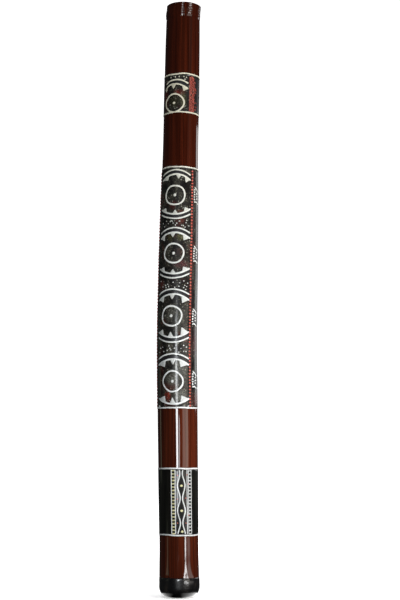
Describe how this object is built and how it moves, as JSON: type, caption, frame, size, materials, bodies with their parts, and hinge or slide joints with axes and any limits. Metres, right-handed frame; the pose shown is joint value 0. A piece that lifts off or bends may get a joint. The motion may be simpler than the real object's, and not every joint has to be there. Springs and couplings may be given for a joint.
{
  "type": "didgeridoo",
  "caption": "Bamboo didgeridoo: a long varnished hollow tube with a soft bend, wax mouthpiece, rounded black bell end and painted bands of sun figures, beads and wave lines.",
  "frame": {"origin": "middle of the bell opening, on the plane the bell end stands on", "axes": "+Z from the bell end to the mouthpiece, the painted front faces -Y, the bend goes towards -X"},
  "size_m": [0.0878, 0.0812, 1.203],
  "materials": {
    "bamboo": "gloss varnish",
    "beeswax": "satin",
    "black_lacquer": "gloss",
    "ground_paint": "satin",
    "white_paint": "satin",
    "cream_paint": "satin",
    "red_paint": "satin"
  },
  "bodies": {
    "root": {"beads_back_left": "red_paint", "beads_back_right": "red_paint", "beads_front_left": "red_paint", "beads_front_right": "red_paint", "bell_back_divider": "white_paint", "bell_back_ladders": "cream_paint", "bell_back_lens_dots": "cream_paint", "bell_back_red_marks": "red_paint", "bell_back_waves": "white_paint", "bell_bottom_line": "white_paint", "bell_coat": "black_lacquer", "bell_front_divider": "white_paint", "bell_front_ladders": "cream_paint", "bell_front_lens_dots": "cream_paint", "bell_front_red_marks": "red_paint", "bell_front_waves": "white_paint", "bell_ground": "ground_paint", "bell_top_line": "white_paint", "body_back_plain_arcs": "white_paint", "body_back_stars": "white_paint", "body_back_sun_dots": "white_paint", "body_back_sun_rings": "white_paint", "body_back_toothed_arcs": "white_paint", "body_bottom_line": "white_paint", "body_front_plain_arcs": "white_paint", "body_front_stars": "white_paint", "body_front_sun_dots": "white_paint", "body_front_sun_rings": "white_paint", "body_front_toothed_arcs": "white_paint", "body_ground": "ground_paint", "body_top_line": "white_paint", "culm": "bamboo", "mouth_back_arcs": "white_paint", "mouth_back_dashes": "red_paint", "mouth_back_stars": "white_paint", "mouth_back_sun_ring": "white_paint", "mouth_bottom_line": "white_paint", "mouth_front_arcs": "white_paint", "mouth_front_dashes": "red_paint", "mouth_front_stars": "white_paint", "mouth_front_sun_ring": "white_paint", "mouth_ground": "ground_paint", "mouth_top_line": "white_paint", "mouthpiece": "beeswax", "side_figure_bars_left": "white_paint", "side_figure_bars_right": "white_paint", "side_figure_dots_left": "white_paint", "side_figure_dots_right": "white_paint"}
  },
  "joints": []
}
